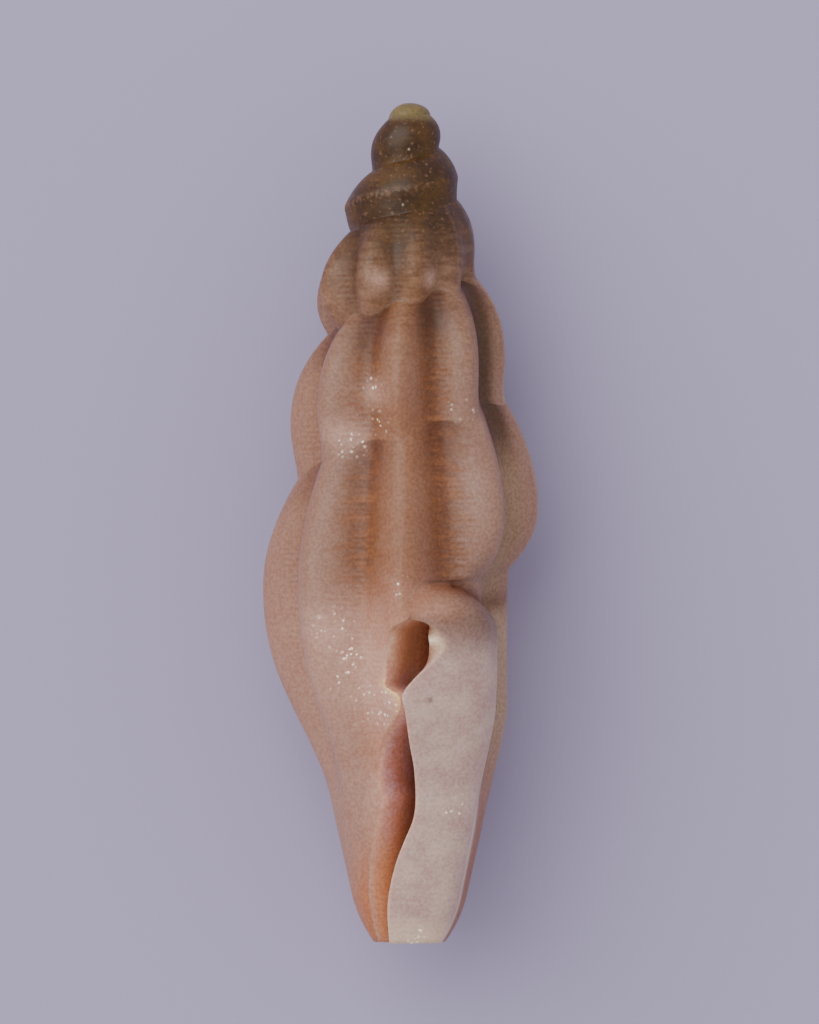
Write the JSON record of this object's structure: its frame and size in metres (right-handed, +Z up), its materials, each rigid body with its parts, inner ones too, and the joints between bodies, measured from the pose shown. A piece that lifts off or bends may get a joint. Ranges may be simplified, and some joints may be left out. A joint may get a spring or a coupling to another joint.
{
  "type": "ithycythara penelope shell",
  "caption": "Slender spindle-shaped sea snail shell with strong upright ribs, a tall spire, a thick white lip and a narrow slit aperture with a notch at its top, lying aperture up.",
  "frame": {"origin": "centre of the bounding box at the height of the surface that the shell lies on", "axes": "+Z up, out of the aperture; +Y along the axis of coiling towards the apex; +X to the side of the outer lip"},
  "size_m": [0.0019, 0.006, 0.0018],
  "materials": {
    "shell": "waxy, slightly translucent, faintly glossy"
  },
  "bodies": {
    "root": {"shell": "shell"}
  },
  "joints": []
}
